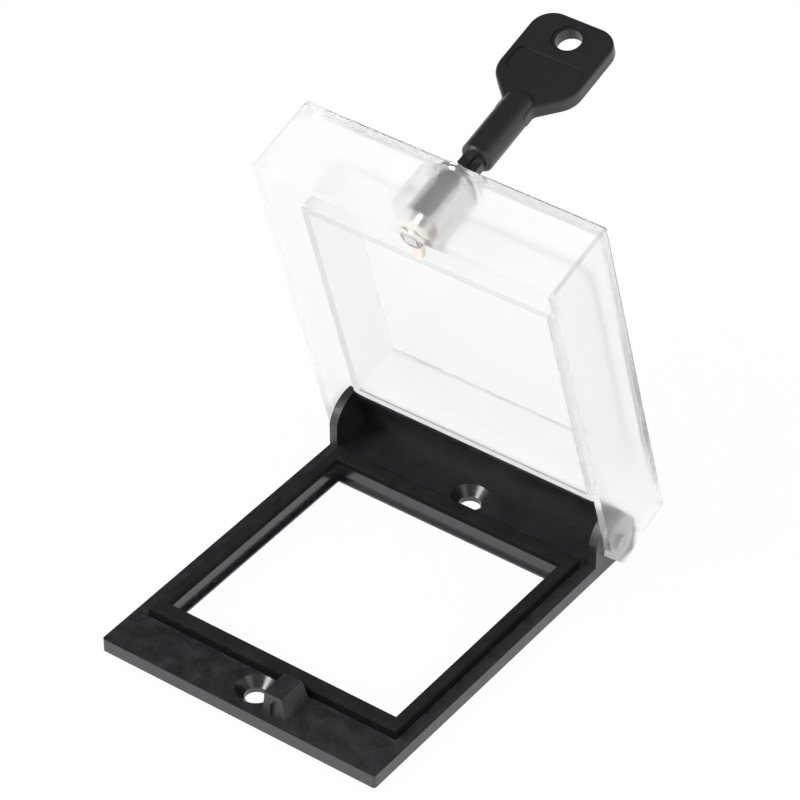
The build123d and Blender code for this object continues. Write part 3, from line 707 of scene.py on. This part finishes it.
@dataclass
class Studio:
    """Pale floor, white surroundings and soft boxes."""

    floor_size: float = 6.0
    floor_gap: float = 0.05
    floor_colour: float = 0.8
    floor_white: float = 0.96
    world_level: float = 1.0
    sky_level: float = 0.03
    dark_direction: tuple[float, float, float] = (-0.458, 0.630, 0.627)
    front_level: float = 0.25
    front_direction: tuple[float, float, float] = (0.1, -0.8, 0.59)
    top_level: float = 0.2
    top_direction: tuple[float, float, float] = (0.459, 0.185, 0.869)
    lamps: tuple[Lamp, ...] = (
        Lamp("main_box", (-0.46, -0.60, 0.62), 0.9, 0.36, 3.6),
        Lamp("side_box", (0.9, -0.2, 0.7), 1.1, 0.5, 0.7),
    )

    def build(self) -> None:
        """Make the floor, the world and the lamps."""
        self._floor()
        self._world()
        for lamp in self.lamps:
            lamp.build()
        bpy.context.scene.view_settings.view_transform = "Standard"

    @staticmethod
    def _seen_ray(tree: bpy.types.NodeTree, kinds: Iterable[str]) -> bpy.types.NodeSocket:
        """Add up the kinds of ray that see the background itself.

        Args:
            tree: The tree that gets the nodes.
            kinds: Output names of the Light Path node.

        Returns:
            A socket that is 1 for these rays and 0 for others.
        """
        path = tree.nodes.new("ShaderNodeLightPath")
        total: Optional[bpy.types.NodeSocket] = None
        for kind in kinds:
            if total is None:
                total = path.outputs[kind]
                continue
            joined = tree.nodes.new("ShaderNodeMath")
            joined.operation = "MAXIMUM"
            tree.links.new(total, joined.inputs[0])
            tree.links.new(path.outputs[kind], joined.inputs[1])
            total = joined.outputs[0]
        return total

    def _floor(self) -> None:
        """Make the floor, white to the eye and still shaded under the object."""
        mesh = bpy.data.meshes.new("floor")
        shape = bmesh.new()
        bmesh.ops.create_grid(shape, x_segments=1, y_segments=1, size=self.floor_size / 2)
        shape.to_mesh(mesh)
        shape.free()
        floor = bpy.data.objects.new("floor", mesh)
        floor.location.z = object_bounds()[0].z - self.floor_gap * MM
        bpy.context.scene.collection.objects.link(floor)
        material = bpy.data.materials.new("floor_white")
        material.use_nodes = True
        tree = material.node_tree
        tree.nodes.clear()
        matte = tree.nodes.new("ShaderNodeBsdfDiffuse")
        matte.inputs["Color"].default_value = (self.floor_colour,) * 3 + (1.0,)
        glow = tree.nodes.new("ShaderNodeEmission")
        glow.inputs["Strength"].default_value = 1.0
        seen = self._seen_ray(tree, ("Is Camera Ray", "Is Glossy Ray", "Is Transmission Ray"))
        share = tree.nodes.new("ShaderNodeMath")
        share.operation = "MULTIPLY"
        share.inputs[1].default_value = self.floor_white
        tree.links.new(seen, share.inputs[0])
        mixed = tree.nodes.new("ShaderNodeMixShader")
        tree.links.new(share.outputs[0], mixed.inputs["Fac"])
        tree.links.new(matte.outputs[0], mixed.inputs[1])
        tree.links.new(glow.outputs[0], mixed.inputs[2])
        output = tree.nodes.new("ShaderNodeOutputMaterial")
        tree.links.new(mixed.outputs[0], output.inputs["Surface"])
        mesh.materials.append(material)
        floor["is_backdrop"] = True

    @staticmethod
    def _dim_patch(
        tree: bpy.types.NodeTree,
        direction: tuple[float, float, float],
        reach: tuple[float, float],
        level: float,
    ) -> bpy.types.NodeSocket:
        """Dim the surroundings softly around one direction.

        Args:
            tree: The world's tree.
            direction: The middle of the dim patch, of length 1.
            reach: Cosines at the patch's rim and where it is fully dim.
            level: Strength in the middle, 1 outside.

        Returns:
            The socket of the strength.
        """
        place = tree.nodes.new("ShaderNodeTexCoord")
        towards = tree.nodes.new("ShaderNodeVectorMath")
        towards.operation = "DOT_PRODUCT"
        towards.inputs[1].default_value = direction
        tree.links.new(place.outputs["Generated"], towards.inputs[0])
        ramp = tree.nodes.new("ShaderNodeMapRange")
        ramp.inputs["From Min"].default_value = reach[0]
        ramp.inputs["From Max"].default_value = reach[1]
        ramp.inputs["To Min"].default_value = 1.0
        ramp.inputs["To Max"].default_value = level
        tree.links.new(towards.outputs["Value"], ramp.inputs["Value"])
        return ramp.outputs["Result"]

    def _world(self) -> None:
        """Make surroundings that are white where seen and dimmer overhead."""
        world = bpy.data.worlds.new("studio")
        bpy.context.scene.world = world
        world.use_nodes = True
        tree = world.node_tree
        tree.nodes.clear()
        rear = self._dim_patch(tree, self.dark_direction, (0.1, 0.8), self.sky_level)
        front = self._dim_patch(tree, self.front_direction, (0.55, 0.85), self.front_level)
        top = self._dim_patch(tree, self.top_direction, (0.75, 0.95), self.top_level)
        both = tree.nodes.new("ShaderNodeMath")
        both.operation = "MULTIPLY"
        tree.links.new(rear, both.inputs[0])
        tree.links.new(front, both.inputs[1])
        sky = tree.nodes.new("ShaderNodeMath")
        sky.operation = "MULTIPLY"
        tree.links.new(both.outputs[0], sky.inputs[0])
        tree.links.new(top, sky.inputs[1])
        mirrored = tree.nodes.new("ShaderNodeBackground")
        tree.links.new(sky.outputs[0], mirrored.inputs["Strength"])
        white = tree.nodes.new("ShaderNodeBackground")
        white.inputs["Strength"].default_value = 1.0
        lit = tree.nodes.new("ShaderNodeBackground")
        lit.inputs["Strength"].default_value = self.world_level
        for shade in (mirrored, white, lit):
            shade.inputs["Color"].default_value = (1.0, 1.0, 1.0, 1.0)
        first = tree.nodes.new("ShaderNodeMixShader")
        tree.links.new(
            self._seen_ray(tree, ("Is Glossy Ray", "Is Transmission Ray")), first.inputs["Fac"]
        )
        tree.links.new(lit.outputs[0], first.inputs[1])
        tree.links.new(mirrored.outputs[0], first.inputs[2])
        path = tree.nodes.new("ShaderNodeLightPath")
        direct = tree.nodes.new("ShaderNodeMath")
        direct.operation = "LESS_THAN"
        tree.links.new(path.outputs["Glossy Depth"], direct.inputs[0])
        direct.inputs[1].default_value = 0.5
        through = tree.nodes.new("ShaderNodeMath")
        through.operation = "MULTIPLY"
        tree.links.new(direct.outputs[0], through.inputs[0])
        tree.links.new(
            self._seen_ray(tree, ("Is Camera Ray", "Is Transmission Ray")), through.inputs[1]
        )
        second = tree.nodes.new("ShaderNodeMixShader")
        tree.links.new(through.outputs[0], second.inputs["Fac"])
        tree.links.new(first.outputs[0], second.inputs[1])
        tree.links.new(white.outputs[0], second.inputs[2])
        output = tree.nodes.new("ShaderNodeOutputWorld")
        tree.links.new(second.outputs[0], output.inputs["Surface"])


# Pieces


def dress(node: str, material: bpy.types.Material) -> None:
    """Give a CAD node its finish.

    Args:
        node: Name of the CAD node, which stays as it is.
        material: The material for its one slot.
    """
    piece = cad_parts[node]
    if piece.material_slots:
        for slot in piece.material_slots:
            slot.material = material
    else:
        piece.data.materials.append(material)
    LOG.info("%s keeps its shape and wears %s", node, material.name)


@dataclass(frozen=True)
class CoilSpring:
    """A wound compression spring that stands for the plain CAD tube."""

    node: str
    material: bpy.types.Material
    wire: float = 0.11
    turns: float = 8.0
    closed_turns: float = 1.0
    steps_per_turn: int = 24
    ring_points: int = 10

    def build(self) -> bpy.types.Object:
        """Wind the spring inside the CAD tube's own box.

        Returns:
            The spring's object, riding on the plug.
        """
        low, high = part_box(self.node)
        centre = (low + high) / 2
        wire = self.wire * MM
        radius = (high.y - low.y) / 2 - wire / 2
        length = high.x - low.x - wire
        open_turns = self.turns - 2 * self.closed_turns
        open_pitch = (length - 2 * self.closed_turns * wire) / open_turns
        shape = bmesh.new()
        start = Vector((low.x + wire / 2, centre.y + radius, centre.z))
        ring = bmesh.ops.create_circle(
            shape, segments=self.ring_points, radius=wire / 2, matrix=Matrix.Translation(start)
        )
        section = ring["verts"] + list(shape.edges)
        for turns, pitch in (
            (self.closed_turns, wire),
            (open_turns, open_pitch),
            (self.closed_turns, wire),
        ):
            wound = bmesh.ops.spin(
                shape,
                geom=section,
                cent=centre,
                axis=(1.0, 0.0, 0.0),
                dvec=(pitch / self.steps_per_turn, 0.0, 0.0),
                angle=math.tau * turns,
                steps=round(turns * self.steps_per_turn),
            )
            section = wound["geom_last"]
        rims = [edge for edge in shape.edges if edge.is_boundary]
        bmesh.ops.holes_fill(shape, edges=rims, sides=0)
        bmesh.ops.recalc_face_normals(shape, faces=shape.faces)
        self._put_in_order(shape)
        mesh = bpy.data.meshes.new(f"coil_{self.node}")
        shape.to_mesh(mesh)
        shape.free()
        for face in mesh.polygons:
            face.use_smooth = len(face.vertices) == 4
        mesh.materials.append(self.material)
        spring = bpy.data.objects.new(f"coil_{self.node}", mesh)
        bpy.context.scene.collection.objects.link(spring)
        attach(spring, Body.PLUG.value)
        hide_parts(self.node)
        LOG.info("%s is wound from %.2f mm wire", spring.name, self.wire)
        return spring

    @staticmethod
    def _put_in_order(shape: bmesh.types.BMesh) -> None:
        """Sort a mesh's elements by place, because a spin leaves them in another order on each run.

        Args:
            shape: The finished mesh.
        """
        for elements in (shape.verts, shape.edges, shape.faces):
            placed = sorted(elements, key=CoilSpring._place)
            ranks = {element: rank for rank, element in enumerate(placed)}
            elements.sort(key=ranks.get)
            elements.index_update()

    @staticmethod
    def _place(element: Union[bmesh.types.BMVert, bmesh.types.BMEdge, bmesh.types.BMFace]) -> tuple:
        """Place of an element, as the sorted places of its corners."""
        if isinstance(element, bmesh.types.BMVert):
            return tuple(element.co)
        return tuple(sorted(tuple(corner.co) for corner in element.verts))


@dataclass(frozen=True)
class SubAssembly:
    """CAD nodes that move together, each with the slot that it wears."""

    body: Body
    nodes: tuple[tuple[str, Slot], ...]

    def build(self, materials: dict[Slot, bpy.types.Material]) -> None:
        """Dress the nodes.

        Args:
            materials: The finished material of each slot.
        """
        for node, slot in self.nodes:
            dress(node, materials[slot])
        LOG.info("body %s is dressed", self.body.value)


@dataclass(frozen=True)
class LockCore(SubAssembly):
    """The turning core with its wafers and their coil springs."""

    wafers: int = 5

    def build(self, materials: dict[Slot, bpy.types.Material]) -> None:
        """Dress the core and the wafers, and wind a spring for each wafer.

        Args:
            materials: The finished material of each slot.
        """
        super().build(materials)
        for number in range(1, self.wafers + 1):
            dress(f"wafer_{number}", materials[Slot.WAFER])
            CoilSpring(f"wafer_spring_{number}", materials[Slot.SPRING]).build()


ASSEMBLIES: tuple[SubAssembly, ...] = (
    SubAssembly(Body.BASE, (("base_frame", Slot.FRAME), ("window_gasket", Slot.GASKET))),
    SubAssembly(Body.LID, (("clear_lid", Slot.LID), ("lock_barrel", Slot.LOCK))),
    LockCore(Body.PLUG, (("lock_plug", Slot.LOCK), ("lock_cam", Slot.CAM), ("cam_clip", Slot.SPRING))),
    SubAssembly(Body.KEY, (("key", Slot.KEY),)),
)


def main() -> None:
    """Build every sub-assembly and the stage around it."""
    materials = {slot: finish.build() for slot, finish in FINISHES.items()}
    for assembly in ASSEMBLIES:
        assembly.build(materials)
    Studio().build()
    PhotoCamera().build()


if __name__ == "__main__":
    main()
